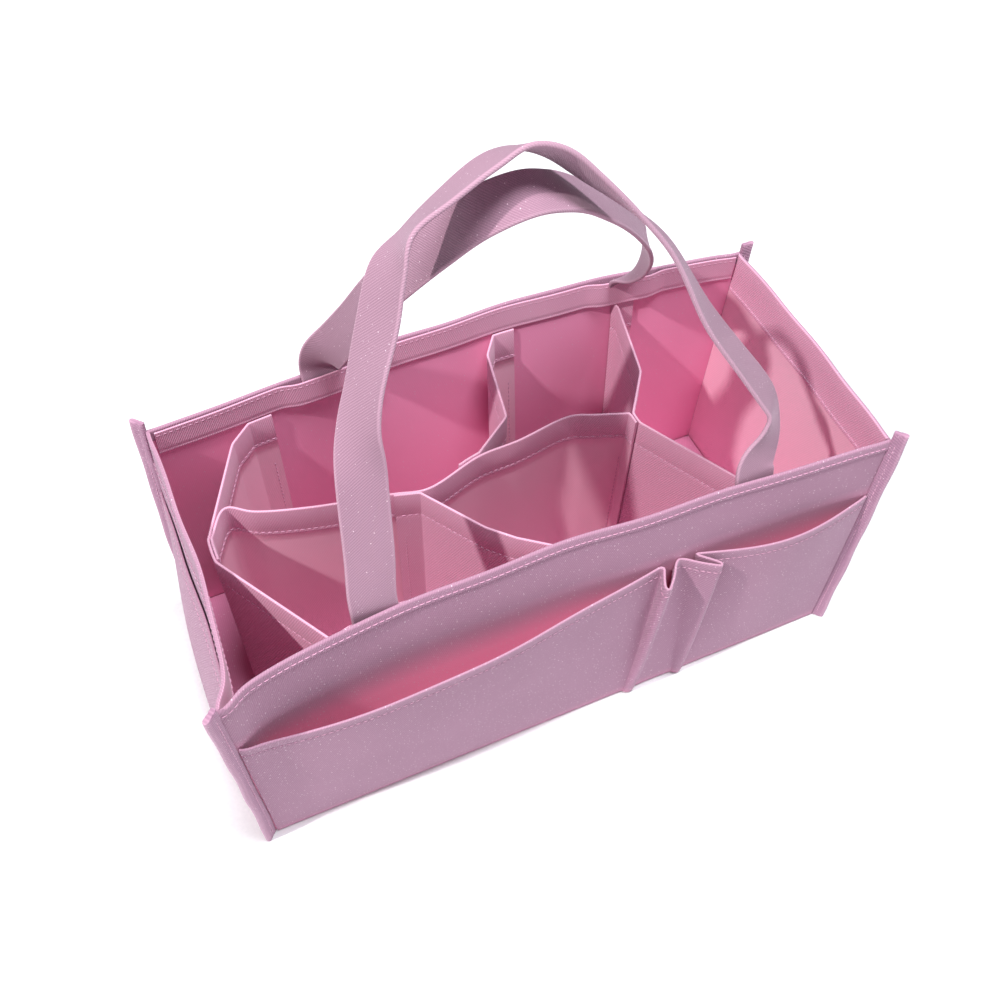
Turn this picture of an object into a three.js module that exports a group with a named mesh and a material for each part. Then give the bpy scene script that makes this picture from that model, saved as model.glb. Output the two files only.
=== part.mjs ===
// Diaper bag organizer insert: an open cloth box with cloth dividers inside, open pockets on all
// four sides and two carrying handles. Millimetres, +Z up, origin at the centre of the underside.
// X runs along the length, the front wall faces -Y.
import * as THREE from 'three';

// Overall sizes
const LENGTH = 330;           // outside length at the base
const WIDTH = 148;            // outside width at the base
const HEIGHT = 152;           // base to the top edge of the walls

// Cloth and sewing
const WALL = 2;               // wall: two layers of coated cloth
const CLOTH = 1.2;            // one layer with its coating, for dividers and pockets
const GAP = 0.3;              // clearance between pieces that are sewn face to face
const HEM = 16;               // depth of the walls' turned-in top hem
const FACE_GAP = GAP + CLOTH / 2;

// How the walls stand: they are straight at the base and lean and bow towards the top
const LEAN_POWER = 1.4;
const FRONT_BOW = 15;         // inwards, strongest towards the left
const BACK_BOW = 13.5;        // outwards, strongest right of the middle
const LEFT_BOW = 7;           // inwards
const RIGHT_BOW = 2;          // outwards
const CORNER_EASE = 7;        // the bows start this far from the corners
const TOP_SHIFT = {
  front_left: [-2, -7],
  front_right: [1, 5],
  back_left: [6, -1],
  back_right: [4.5, 2.7],
};

// Base, from the outside in
const BASE_CLOTH = 1.2;
const BASE_BOARD = 2;
const BASE_LINING = 1.2;
const BASE_EDGE = 0.4;        // clearance from the base to the walls

// Seam tape on the four corners
const TAPE_WIDTH = 8.6;
const TAPE_THICK = 3;
const TAPE_INSIDE = 0.6;      // how far the tape reaches in past the corner
const TAPE_RISE = 5;          // how far its end stands above the wall
const BACK_RIGHT_TAPE_TURN = -45; // that one lies over to the right, degrees from the diagonal
const PANEL_INSET = 1.7;      // from the corner to the end of each wall panel

// Outer pockets
const POCKET_HEIGHT = 112;
const POCKET_FOOT = 1;        // height of the bottom seam
const POCKET_SEAM_X = 56.5;   // seam between the two pockets of a long side
const LARGE_POCKET_BULGE = 17;
const SMALL_POCKET_BULGE = 9;
const LEFT_PLEAT = { reach: 13.5, lean: 8 };   // how far the pleats beside the seam stand out
const RIGHT_PLEAT = { reach: 11, lean: 12 };   // and their tips lean away from it
const PLEAT_WIDTH = 7;
const PLEAT_FOOT = 2.4;       // how far the flattened pleats stand out at the bottom seam
const PLEAT_ROOT = 1.6;       // from the seam to the root of each pleat
const PLEAT_BELLY = 1.2;      // how far the sides of a pleat swell
const PLEAT_TIP = 1.5;        // half the width of its rounded tip
const END_POCKET_HEIGHT = 108;
const END_POCKET_MOUTH = 3.5; // how far it gapes, most towards the back
const END_POCKET_BELLY = 9.3; // how far it swells below that, most towards the front

// Dividers
const DIVIDER_HEIGHT = HEIGHT - HEM;   // the dividers end where the walls' hem begins
const TAB = 12;               // turned end that is sewn to the next piece
// The knees of the two cross dividers: from the end wall, from the centre line, length of the knee
const LEFT_KNEE = [16.5, 7, 12];
const RIGHT_KNEE = [97.5, 3.5, 7];
const LEFT_BACK_X = 53;       // where the left cross divider meets the back wall, from the left
const LEFT_FRONT_X = 55;
const RIGHT_BACK_X = 70;      // where the right cross divider meets the back wall, from the right
const RIGHT_FRONT_X = 63;
const MIDDLE_BACK_X = 24;     // where the middle dividers meet the long walls, from the centre
const MIDDLE_FRONT_X = 8;
const MIDDLE_BACK_FOOT = 14.5; // and where they meet the long divider, left of the centre
const MIDDLE_FRONT_FOOT = 50;
// Kinks in the dividers: share of the way from the wall to the knee or foot, and how far the
// cloth stands there to the right of the straight line
const LEFT_BACK_KINKS = [[0.16, -5]];
const RIGHT_BACK_KINKS = [[0.06, 2.5], [0.68, 8.5]];
const MIDDLE_BACK_KINKS = [[0.17, -2], [0.77, 13]];
const MIDDLE_FRONT_KINKS = [[0.17, -4], [0.33, -7.5], [0.51, -8]];
// The long divider's wave: share of the way from knee to knee, and distance from the centre line
const LONG_WAVE = [[0.05, 28], [0.105, 21], [0.22, 13.5], [0.4, 6], [0.475, 2.5], [0.62, 11.4],
  [0.72, 12.8], [0.865, 17], [0.92, 13]];

// Handles
const STRAP_WIDTH = 21;
const STRAP_THICK = 2.4;
const STRAP_END = HEM - 1;    // length sewn to the inside of the wall, over the hem
const HINGE_RISE = 1.3;       // the bending line's height above the wall
const END_RISE = 0.3;         // how far the sewn end stands above the wall
const FRONT_HANDLE_SPAN = 186.6; // between the middles of its two feet
const FRONT_HANDLE_RISE = 165;   // along the slope, from the bending line to the top
const FRONT_HANDLE_LEFT = 0.5;   // its middle, left of the centre
const BACK_HANDLE_SPAN = 172;
const BACK_HANDLE_RISE = 150;
const BACK_HANDLE_RIGHT = 15;    // its middle, right of the centre
const FRONT_HANDLE = {
  side: -1,
  centre: -FRONT_HANDLE_LEFT,
  half_span: FRONT_HANDLE_SPAN / 2,
  rise: FRONT_HANDLE_RISE,
  lean: 28,
  arch: [[-1, 0], [-1, 0.03], [-0.965, 0.14], [-0.91, 0.355], [-0.87, 0.475], [-0.8, 0.575],
    [-0.69, 0.705], [-0.6, 0.815], [-0.49, 0.883], [-0.33, 0.93], [-0.12, 0.983], [0.03, 1],
    [0.17, 0.972], [0.32, 0.893], [0.48, 0.8], [0.64, 0.69], [0.8, 0.49], [0.95, 0.35],
    [1.07, 0.24], [1.12, 0.18], [1.09, 0.095], [1, 0.02], [1, 0]],
  turn: [0, 0, -8, -18, -52, -63, -58, -66, -98, -91, -87, -98, -100, -94, -81, -67, -54, -50,
    -46, -48, -29, -4, 0],
};
const BACK_HANDLE = {
  side: 1,
  centre: BACK_HANDLE_RIGHT,
  half_span: BACK_HANDLE_SPAN / 2,
  rise: BACK_HANDLE_RISE,
  lean: 28.4,
  arch: [[-1, 0], [-1, 0.03], [-0.995, 0.1], [-0.94, 0.19], [-0.86, 0.335], [-0.775, 0.51],
    [-0.7, 0.62], [-0.51, 0.815], [-0.35, 0.94], [-0.15, 0.985], [0.02, 0.95], [0.13, 0.905],
    [0.27, 0.825], [0.43, 0.725], [0.61, 0.595], [0.8, 0.435], [0.93, 0.295], [0.985, 0.18],
    [1, 0.09], [1, 0.03], [1, 0]],
  turn: [0, -10, -50, -75, -85, -88, -88, -90, -92, -100, -104, -105, -104, -102, -98, -92, -80,
    -68, -42, -8, 0],
};

// Small helpers
const lerp = (a, b, t) => a + (b - a) * t;
const range = (n) => Array.from({ length: n }, (_, i) => i);
const shares = (n) => range(n + 1).map((i) => i / n);
const lean = (z) => Math.max(0, z / HEIGHT) ** LEAN_POWER;
const clamp01 = (s) => Math.min(1, Math.max(0, s));
const eased = (d) => 1 - Math.exp(-((d / CORNER_EASE) ** 2));

// Where the mid-surfaces of two neighbouring walls meet, at height z
function corner(end, side, z) {
  const name = `${side < 0 ? 'front' : 'back'}_${end < 0 ? 'left' : 'right'}`;
  const [dx, dy] = TOP_SHIFT[name];
  return [end * (LENGTH - WALL) / 2 + dx * lean(z), side * (WIDTH - WALL) / 2 + dy * lean(z)];
}

// Mid-surface of a long wall: side -1 is the front, 1 the back
function longWallY(side, x, z) {
  const [x0, y0] = corner(-1, side, z);
  const [x1, y1] = corner(1, side, z);
  const s = clamp01((x - x0) / (x1 - x0));
  const front = FRONT_BOW * Math.sin(Math.PI * s ** 0.6);
  const back = BACK_BOW * Math.sin(Math.PI * s ** 1.3);
  const ease = eased(s * (x1 - x0)) * eased((1 - s) * (x1 - x0));
  return lerp(y0, y1, s) + (side < 0 ? front : back) * ease * lean(z);
}

// Mid-surface of an end wall: end -1 is the left, 1 the right
function endWallX(end, y, z) {
  const [x0, y0] = corner(end, -1, z);
  const [x1, y1] = corner(end, 1, z);
  const s = clamp01((y - y0) / (y1 - y0));
  const left = LEFT_BOW * Math.sin(Math.PI * s ** 0.55);
  const right = RIGHT_BOW * Math.sin(Math.PI * s);
  const ease = eased(s * (y1 - y0)) * eased((1 - s) * (y1 - y0));
  return lerp(x0, x1, s) + (end < 0 ? left : right) * ease * lean(z);
}

// Closed solid from two matching grids of points, the front one first
function slab(front, back) {
  const rows = front.length;
  const cols = front[0].length;
  const positions = [...front.flat(), ...back.flat()].flat();
  const at = (layer, r, c) => layer * rows * cols + r * cols + c;
  const triangles = [];
  const quad = (a, b, c, d) => triangles.push(a, b, c, a, c, d);
  for (const r of range(rows - 1)) {
    for (const c of range(cols - 1)) {
      quad(at(0, r, c), at(0, r, c + 1), at(0, r + 1, c + 1), at(0, r + 1, c));
      quad(at(1, r, c), at(1, r + 1, c), at(1, r + 1, c + 1), at(1, r, c + 1));
    }
    quad(at(0, r, 0), at(0, r + 1, 0), at(1, r + 1, 0), at(1, r, 0));
    quad(at(0, r + 1, cols - 1), at(0, r, cols - 1), at(1, r, cols - 1), at(1, r + 1, cols - 1));
  }
  for (const c of range(cols - 1)) {
    quad(at(0, 0, c + 1), at(0, 0, c), at(1, 0, c), at(1, 0, c + 1));
    quad(at(0, rows - 1, c), at(0, rows - 1, c + 1), at(1, rows - 1, c + 1), at(1, rows - 1, c));
  }
  return facingOut(positions, triangles);
}

// Turn the triangles round if they enclose a negative volume
function facingOut(positions, triangles) {
  const p = (i) => new THREE.Vector3(...positions.slice(3 * i, 3 * i + 3));
  let volume = 0;
  for (let i = 0; i < triangles.length; i += 3) {
    volume += p(triangles[i]).dot(p(triangles[i + 1]).cross(p(triangles[i + 2])));
  }
  const index = volume < 0 ? [...triangles].reverse() : triangles;
  const geometry = new THREE.BufferGeometry();
  geometry.setAttribute('position', new THREE.Float32BufferAttribute(positions, 3));
  geometry.setIndex(index);
  return geometry;
}

// Offset a plan path sideways, with mitred corners
function offsetPath(path, distance) {
  const last = path.length - 1;
  const normal = (i) => {
    const dx = path[i + 1][0] - path[i][0];
    const dy = path[i + 1][1] - path[i][1];
    const length = Math.hypot(dx, dy);
    return [-dy / length, dx / length];
  };
  return path.map(([x, y], i) => {
    const a = normal(Math.max(0, i - 1));
    const b = normal(Math.min(last - 1, i));
    const sum = [a[0] + b[0], a[1] + b[1]];
    const size = Math.hypot(...sum);
    const mitre = Math.min(2, 2 / size);
    return [x + sum[0] / size * mitre * distance, y + sum[1] / size * mitre * distance];
  });
}

// A sheet that stands on edge: its plan path at each height, made as thick as it is
function standingSheet(heights, pathAt, thickness) {
  const side = (sign) => heights.map((z) => (
    offsetPath(pathAt(z), sign * thickness / 2).map(([x, y]) => [x, y, z])));
  return slab(side(1), side(-1));
}

const heightsBetween = (low, high, n) => shares(n).map((t) => lerp(low, high, t));

// The four walls
const WALL_HEIGHTS = heightsBetween(0, HEIGHT, 5);

function longWall(side) {
  return standingSheet(WALL_HEIGHTS, (z) => {
    const x0 = corner(-1, side, z)[0] + PANEL_INSET;
    const x1 = corner(1, side, z)[0] - PANEL_INSET;
    return shares(18).map((t) => lerp(x0, x1, t)).map((x) => [x, longWallY(side, x, z)]);
  }, WALL);
}

function endWall(end) {
  return standingSheet(WALL_HEIGHTS, (z) => {
    const y0 = corner(end, -1, z)[1] + PANEL_INSET;
    const y1 = corner(end, 1, z)[1] - PANEL_INSET;
    return shares(10).map((t) => lerp(y0, y1, t)).map((y) => [endWallX(end, y, z), y]);
  }, WALL);
}

// Seam tape that stands out from a corner, on the diagonal or turned from it
function cornerTape(end, side, turn = 0) {
  const angle = Math.atan2(side, end) + THREE.MathUtils.degToRad(turn);
  return standingSheet(heightsBetween(GAP, HEIGHT + TAPE_RISE, 5), (z) => {
    const [x, y] = corner(end, side, z);
    return [-TAPE_INSIDE, TAPE_WIDTH - TAPE_INSIDE].map((d) => [
      x + Math.cos(angle) * d, y + Math.sin(angle) * d]);
  }, TAPE_THICK);
}

// Base layers
function baseLayer(bottom, thickness) {
  const inset = WALL + BASE_EDGE;
  const box = new THREE.BoxGeometry(LENGTH - 2 * inset, WIDTH - 2 * inset, thickness);
  return box.translate(0, 0, bottom + thickness / 2);
}

const BOARD_Z = BASE_CLOTH + GAP;
const LINING_Z = BOARD_Z + BASE_BOARD + GAP;
const FLOOR_Z = LINING_Z + BASE_LINING;

// The pocket strip of a long side. x is measured along the strip, so that the back one is the
// front one turned round; out is measured from the wall's outside to the middle of the cloth
function longPocket(side) {
  const turn = -side;
  const pocketFoot = POCKET_FOOT + GAP;
  const pathAt = (z) => {
    const full = ((z - pocketFoot) / (POCKET_HEIGHT - pocketFoot)) ** 0.85;
    const xs = [-1, 1].map((end) => turn * corner(end * turn, side, z)[0]);
    const x0 = xs[0] + PANEL_INSET;
    const x1 = xs[1] - PANEL_INSET;
    const pleat = (sign, shape) => {
      const reach = lerp(PLEAT_FOOT, shape.reach, full);
      const root = POCKET_SEAM_X + sign * PLEAT_ROOT;
      const far = root + sign * PLEAT_WIDTH;
      const tip = (root + far) / 2 + sign * shape.lean * full;
      return [
        [root, 0], [lerp(root, tip, 0.5) - sign * PLEAT_BELLY, reach * 0.5],
        [tip - sign * PLEAT_TIP, reach * 0.93], [tip, reach], [tip + sign * PLEAT_TIP, reach * 0.86],
        [lerp(far, tip, 0.5) + sign * PLEAT_BELLY, reach * 0.45], [far, 0],
      ];
    };
    const left = pleat(-1, LEFT_PLEAT).reverse();
    const right = pleat(1, RIGHT_PLEAT);
    const face = (from, to, bulge, skew) => shares(10).map((t) => [
      lerp(from, to, t), bulge * full * Math.sin(Math.PI * t ** skew)]);
    const large = face(x0, left[0][0], LARGE_POCKET_BULGE, 0.75).slice(0, -1);
    const small = face(right[right.length - 1][0], x1, SMALL_POCKET_BULGE, 1).slice(1);
    return [...large, ...left, ...right, ...small].map(([along, out]) => {
      const x = along * turn;
      return [x, longWallY(side, x, z) + side * (WALL / 2 + FACE_GAP + out)];
    });
  };
  return standingSheet(heightsBetween(pocketFoot, POCKET_HEIGHT, 4), pathAt, CLOTH);
}

function endPocket(end) {
  const foot = POCKET_FOOT + GAP;
  const pathAt = (z) => {
    const t = (z - foot) / (END_POCKET_HEIGHT - foot);
    const belly = END_POCKET_BELLY * Math.sin(Math.PI * t ** 0.9);
    const y0 = corner(end, -1, z)[1] + PANEL_INSET;
    const y1 = corner(end, 1, z)[1] - PANEL_INSET;
    return shares(12).map((s) => {
      const y = lerp(y0, y1, s);
      const out = END_POCKET_MOUTH * t * Math.sin(Math.PI * s ** 1.5) ** 0.7
        + belly * Math.sin(Math.PI * s ** 0.8) ** 0.7;
      return [endWallX(end, y, z) + end * (WALL / 2 + FACE_GAP + out), y];
    });
  };
  return standingSheet(heightsBetween(foot, END_POCKET_HEIGHT, 5), pathAt, CLOTH);
}

// Dividers: plan paths that follow the walls at each height
const DIVIDER_HEIGHTS = heightsBetween(FLOOR_Z + GAP, DIVIDER_HEIGHT, 4);
const onWall = (side, x, z) => [x, longWallY(side, x, z) - side * (WALL / 2 + FACE_GAP)];
const FOLD = CLOTH + GAP;     // distance between the middles of two layers sewn together

// The two ends of a knee, the back one first
const kneeEnds = (x, [, y, length]) => [[x, y + length / 2], [x, y - length / 2]];
const leftKnee = kneeEnds(LEFT_KNEE[0] - LENGTH / 2, LEFT_KNEE);
const rightKnee = kneeEnds(LENGTH / 2 - RIGHT_KNEE[0], RIGHT_KNEE);

// The kinks on the way from a to b
function kinked(a, b, kinks) {
  return kinks.map(([t, right]) => [lerp(a[0], b[0], t) + right, lerp(a[1], b[1], t)]);
}

// A cross divider from the back wall to its knee and on to the front wall
function crossDivider(backX, kinks, knee, frontX) {
  return standingSheet(DIVIDER_HEIGHTS, (z) => {
    const back = onWall(1, backX, z);
    const front = onWall(-1, frontX, z);
    return [
      onWall(1, backX + TAB, z), onWall(1, backX + TAB / 2, z), back,
      ...kinked(back, knee[0], kinks), ...knee, front,
      onWall(-1, frontX + TAB / 2, z), onWall(-1, frontX + TAB, z),
    ];
  }, CLOTH);
}

// The long divider's plan, from just inside the left knee to just inside the right one
const leftSeam = leftKnee.map(([x, y]) => [x + FOLD, y]);
const rightSeam = rightKnee.map(([x, y]) => [x - FOLD, y]);

function longPlan() {
  const start = new THREE.Vector3(...leftSeam[0], 0);
  const finish = new THREE.Vector3(...rightSeam[0], 0);
  const waves = LONG_WAVE.map(([t, y]) => new THREE.Vector3(lerp(start.x, finish.x, t), y, 0));
  const curve = new THREE.CatmullRomCurve3([start, ...waves, finish], false, 'centripetal');
  return curve.getSpacedPoints(40).map((p) => [p.x, p.y]);
}

function longDivider() {
  const plan = longPlan();
  return standingSheet(DIVIDER_HEIGHTS, () => [leftSeam[1], ...plan, rightSeam[1]], CLOTH);
}

// A middle divider: from a long wall to the long divider, with a tab along each
function middleDivider(side, wallX, kinks, footX) {
  const plan = longPlan();
  const along = (x) => {
    const i = Math.max(1, plan.findIndex((p) => p[0] > x));
    const [a, b] = [plan[i - 1], plan[i]];
    const t = (x - a[0]) / (b[0] - a[0]);
    const slope = Math.hypot(b[0] - a[0], b[1] - a[1]) / (b[0] - a[0]);
    return [x, lerp(a[1], b[1], t) + side * FOLD * slope];
  };
  return standingSheet(DIVIDER_HEIGHTS, (z) => {
    const wall = onWall(side, wallX, z);
    const foot = along(footX);
    return [
      onWall(side, wallX + TAB, z), onWall(side, wallX + TAB / 2, z), wall,
      ...kinked(wall, foot, kinks), foot, along(footX - TAB / 2), along(footX - TAB),
    ];
  }, CLOTH);
}

// Handles: a ribbon along an arch that leans in over the box. Each station is a point on the
// arch and the turn of the strap's width from the arch's plane towards its normal
const strapY = (side, x, z) => longWallY(side, x, z) - side * (WALL / 2 + GAP + STRAP_THICK / 2);

function handleFrame(handle) {
  const feet = [-1, 1].map((end) => handle.centre + end * handle.half_span);
  const y = feet.reduce((sum, x) => sum + strapY(handle.side, x, HEIGHT), 0) / 2;
  const tilt = THREE.MathUtils.degToRad(handle.lean);
  const up = new THREE.Vector3(0, -handle.side * Math.sin(tilt), Math.cos(tilt));
  const normal = new THREE.Vector3(0, Math.cos(tilt), handle.side * Math.sin(tilt));
  return { feet, y, up, normal, z: HEIGHT + HINGE_RISE };
}

function handleLoop(handle) {
  const { y, up, normal, z } = handleFrame(handle);
  const points = handle.arch.map(([x, h]) => new THREE.Vector3(
    handle.centre + x * handle.half_span, 0, 0).addScaledVector(up, h * handle.rise)
    .add(new THREE.Vector3(0, y, z)));
  const turns = handle.turn.map((angle) => new THREE.Vector3(angle, 0, 0));
  const path = new THREE.CatmullRomCurve3(points, false, 'centripetal');
  const turning = new THREE.CatmullRomCurve3(turns, false, 'centripetal');
  const rings = shares(66).map((t) => {
    const along = path.getTangent(t);
    const flat = new THREE.Vector3().crossVectors(normal, along).normalize();
    const angle = THREE.MathUtils.degToRad(turning.getPoint(t).x);
    const wide = flat.multiplyScalar(Math.cos(angle)).addScaledVector(normal, Math.sin(angle));
    const thick = new THREE.Vector3().crossVectors(along, wide).normalize();
    const at = path.getPoint(t);
    const point = (w, k) => at.clone().addScaledVector(wide, w * STRAP_WIDTH / 2)
      .addScaledVector(thick, k * STRAP_THICK / 2).toArray();
    return [[point(-1, 1), point(1, 1)], [point(-1, -1), point(1, -1)]];
  });
  return slab(rings.map((ring) => ring[0]), rings.map((ring) => ring[1]));
}

// The part of a strap that is sewn flat to the inside of the wall
function handleEnd(handle, end) {
  const { feet } = handleFrame(handle);
  const centre = feet[end < 0 ? 0 : 1];
  const heights = heightsBetween(HEIGHT - STRAP_END, HEIGHT + END_RISE, 2);
  return standingSheet(heights, (z) => shares(3).map((t) => {
    const x = centre + lerp(-STRAP_WIDTH / 2, STRAP_WIDTH / 2, t);
    return [x, strapY(handle.side, x, z)];
  }), STRAP_THICK);
}

// Finishes
const PINK_CLOTH = ['#e29bc0', 0.85, 0];
const PINK_DIVIDER = ['#dc8fb6', 0.88, 0];
const PINK_TAPE = ['#dd94bb', 0.8, 0];
const GREY_BOARD = ['#8f8a86', 0.9, 0];

const group = new THREE.Group();

function add(name, geometry, [color, roughness, metalness]) {
  geometry.computeVertexNormals();
  const material = new THREE.MeshStandardMaterial({ color, roughness, metalness });
  const mesh = new THREE.Mesh(geometry, material);
  mesh.name = name;
  group.add(mesh);
}

add('front_panel', longWall(-1), PINK_CLOTH);
add('back_panel', longWall(1), PINK_CLOTH);
add('left_end_panel', endWall(-1), PINK_CLOTH);
add('right_end_panel', endWall(1), PINK_CLOTH);
add('base_panel', baseLayer(0, BASE_CLOTH), PINK_CLOTH);
add('base_board', baseLayer(BOARD_Z, BASE_BOARD), GREY_BOARD);
add('base_lining', baseLayer(LINING_Z, BASE_LINING), PINK_DIVIDER);
add('front_left_corner_tape', cornerTape(-1, -1), PINK_TAPE);
add('front_right_corner_tape', cornerTape(1, -1), PINK_TAPE);
add('back_left_corner_tape', cornerTape(-1, 1), PINK_TAPE);
add('back_right_corner_tape', cornerTape(1, 1, BACK_RIGHT_TAPE_TURN), PINK_TAPE);
add('front_pocket', longPocket(-1), PINK_CLOTH);
add('back_pocket', longPocket(1), PINK_CLOTH);
add('left_end_pocket', endPocket(-1), PINK_CLOTH);
add('right_end_pocket', endPocket(1), PINK_CLOTH);
add('left_cross_divider', crossDivider(
  LEFT_BACK_X - LENGTH / 2, LEFT_BACK_KINKS, leftKnee, LEFT_FRONT_X - LENGTH / 2), PINK_DIVIDER);
add('right_cross_divider', crossDivider(
  LENGTH / 2 - RIGHT_BACK_X, RIGHT_BACK_KINKS, rightKnee, LENGTH / 2 - RIGHT_FRONT_X), PINK_DIVIDER);
add('long_divider', longDivider(), PINK_DIVIDER);
add('middle_back_divider', middleDivider(
  1, MIDDLE_BACK_X, MIDDLE_BACK_KINKS, -MIDDLE_BACK_FOOT), PINK_DIVIDER);
add('middle_front_divider', middleDivider(
  -1, MIDDLE_FRONT_X, MIDDLE_FRONT_KINKS, -MIDDLE_FRONT_FOOT), PINK_DIVIDER);
add('front_handle_strap', handleLoop(FRONT_HANDLE), PINK_TAPE);
add('front_handle_left_end', handleEnd(FRONT_HANDLE, -1), PINK_TAPE);
add('front_handle_right_end', handleEnd(FRONT_HANDLE, 1), PINK_TAPE);
add('back_handle_strap', handleLoop(BACK_HANDLE), PINK_TAPE);
add('back_handle_left_end', handleEnd(BACK_HANDLE, -1), PINK_TAPE);
add('back_handle_right_end', handleEnd(BACK_HANDLE, 1), PINK_TAPE);

export default group;
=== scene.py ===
# %% [markdown]
# # A cloth organizer that drops into a diaper bag
#
# The real one is an open box sewn from pink polyester twill, with pockets all round, upright
# dividers inside and two flat straps to lift it by. Only the board in its base is hard, so almost
# every piece here is a sheet of cloth with a turned hem.
#
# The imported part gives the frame: which pieces there are, where they stand and what moves.
# This script dresses that frame. Each cloth solid is hidden and a softer sheet takes its place.

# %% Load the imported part
import math

import bpy
import numpy as np
from mathutils import Matrix, Vector


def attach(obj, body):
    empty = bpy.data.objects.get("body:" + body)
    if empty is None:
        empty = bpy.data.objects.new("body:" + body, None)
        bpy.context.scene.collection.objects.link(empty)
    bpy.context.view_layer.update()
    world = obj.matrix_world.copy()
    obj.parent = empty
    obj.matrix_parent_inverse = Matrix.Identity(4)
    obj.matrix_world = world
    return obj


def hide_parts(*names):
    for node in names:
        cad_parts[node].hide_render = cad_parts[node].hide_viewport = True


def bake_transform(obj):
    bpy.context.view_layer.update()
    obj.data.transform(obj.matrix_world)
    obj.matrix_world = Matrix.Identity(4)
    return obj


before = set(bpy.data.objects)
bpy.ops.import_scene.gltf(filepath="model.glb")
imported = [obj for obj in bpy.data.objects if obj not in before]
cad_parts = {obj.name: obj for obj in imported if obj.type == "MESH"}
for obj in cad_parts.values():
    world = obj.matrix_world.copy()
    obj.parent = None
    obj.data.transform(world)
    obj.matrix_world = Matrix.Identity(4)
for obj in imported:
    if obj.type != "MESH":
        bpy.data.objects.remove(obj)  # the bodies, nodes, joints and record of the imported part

scene = bpy.context.scene
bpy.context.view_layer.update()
MM = 0.001  # sizes below are in millimetres, Blender's frame is in metres


def placed(name, data):
    """A new object in the scene that shows a mesh, a lamp or a camera."""
    made = bpy.data.objects.new(name, data)
    scene.collection.objects.link(made)
    return made


# %% [markdown]
# ## The camera
#
# The picture was taken from above the front left corner, looking down at about 55 degrees.
# The camera could be turned by eye until the box looks right. Here its place and its three
# directions are given outright, because they were solved from the box's corners. The small
# shift stands for a picture that was cropped off its middle.

# %% Camera
to_right = Vector((0.91029, -0.41250, 0.03501))
to_top = Vector((0.31914, 0.75310, 0.57532))
to_front = Vector((0.26368, 0.51253, -0.81718))
lens = bpy.data.cameras.new("camera")
lens.sensor_width, lens.lens = 36.0, 37.61
lens.shift_x, lens.shift_y = -0.0129, 0.0322
lens.clip_start = 0.02
camera = placed("camera", lens)
camera.matrix_world = Matrix.Translation((-0.1460, -0.2838, 0.5293)) @ Matrix(
    (to_right, to_top, -to_front)).transposed().to_4x4()
scene.camera = camera
print("camera looks down", round(math.degrees(math.asin(-to_front.z))), "degrees")

# %% [markdown]
# ## Colours and nodes
#
# Colours are written as the hex values one reads off a screen. Shaders work in linear light, so
# one function turns one into the other. A second function adds a node and joins its inputs, and
# a few more do the steps that come up again and again, so each material reads as a list of steps.

# %% Colour and node helpers
def hex_linear(code):
    """A screen colour such as "e89fc0" as linear red, green, blue and alpha."""
    screen = [int(code[i:i + 2], 16) / 255 for i in (0, 2, 4)]
    return [c / 12.92 if c <= 0.04045 else ((c + 0.055) / 1.055) ** 2.4 for c in screen] + [1.0]


def node(tree, kind, inputs=None, **settings):
    """Adds a node. Each input is either another node's output or a plain value."""
    made = tree.nodes.new(kind)
    for name, value in settings.items():
        setattr(made, name, value)
    for socket, source in (inputs or {}).items():
        if isinstance(source, bpy.types.NodeSocket):
            tree.links.new(source, made.inputs[socket])
        else:
            made.inputs[socket].default_value = source
    return made


def sum_of(tree, operation, *values):
    """The result of a sum on outputs or plain values."""
    return node(tree, "ShaderNodeMath", dict(enumerate(values)), operation=operation).outputs[0]


def mapped(tree, value, low, high, to_low=0.0, to_high=1.0):
    """A value between low and high, moved to another range and held inside it."""
    return node(tree, "ShaderNodeMapRange",
                {0: value, 1: low, 2: high, 3: to_low, 4: to_high}).outputs[0]


def mixed(tree, share, first, second):
    """The first colour turning into the second as the share goes from 0 to 1."""
    return node(tree, "ShaderNodeMix", {0: share, 6: first, 7: second}, data_type="RGBA").outputs[2]


def new_finish(name):
    """An empty material and its node tree."""
    material = bpy.data.materials.new(name)
    material.use_nodes = True
    material.node_tree.nodes.clear()
    return material, material.node_tree


def set_surface(tree, inputs):
    """Ends a material with one shader, which gets these inputs."""
    shader = node(tree, "ShaderNodeBsdfPrincipled", {"IOR": 1.5, **inputs})
    node(tree, "ShaderNodeOutputMaterial", {"Surface": shader.outputs[0]})


print("pale pink in linear light", [round(c, 3) for c in hex_linear("e89fc0")[:3]])

# %% [markdown]
# ## Polyester twill
#
# The box is sewn from dyed polyester twill. In a twill each thread steps one place sideways from
# row to row, and that makes the slanting ribs the eye picks out: about 1 mm apart on the panels
# and straps, and 1.5 mm on the bindings, which are woven from a thicker yarn. The top of each rib
# gets a lit colour and the groove beside it a darker one: painted light and painted shade. The
# filaments are shiny, so tiny spots are made glossier and also painted a pale colour, a painted
# glint. Folded edges are rubbed a little paler. Cloth that a pocket covers, and a band just above
# its mouth, is painted a deeper pink: painted shade. Dividers, facings and the hems of the end
# walls get a paler copy of the twill: painted light, for the lamp's light that falls inside the
# box. The back of the cloth is coated, so that it does not fray. The coating fills the ribs, so it
# is smoother. Its strong, clear pink is partly painted reflected light, for light bounced between
# the pink walls, and the coated backs of the dividers and the right end get a paler copy: painted
# light.
#
# A picture of cloth would do, but it would be fixed to one size. Here the ribs come from sines of
# the cloth's own coordinates, which every sheet carries in millimetres in a map called weave. The
# weave then follows each fold, as it does on the real one.

# %% Twill
FULL_TURN = 2 * math.pi
THREAD_STEP = 0.9  # mm from one float to the next; the real 0.4 mm would not show
# a rubbed edge, and the deeper pink painted as shade by a pocket
RUBBED_EDGE, POCKET_PAINTED_SHADE = hex_linear("f3c2d9"), hex_linear("fa9fc3")
PAINTED_GLINT, BLOOM = hex_linear("f2d6e5"), hex_linear("f6e9f4")  # painted glint of a filament, sheen tint of the whole cloth


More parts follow.
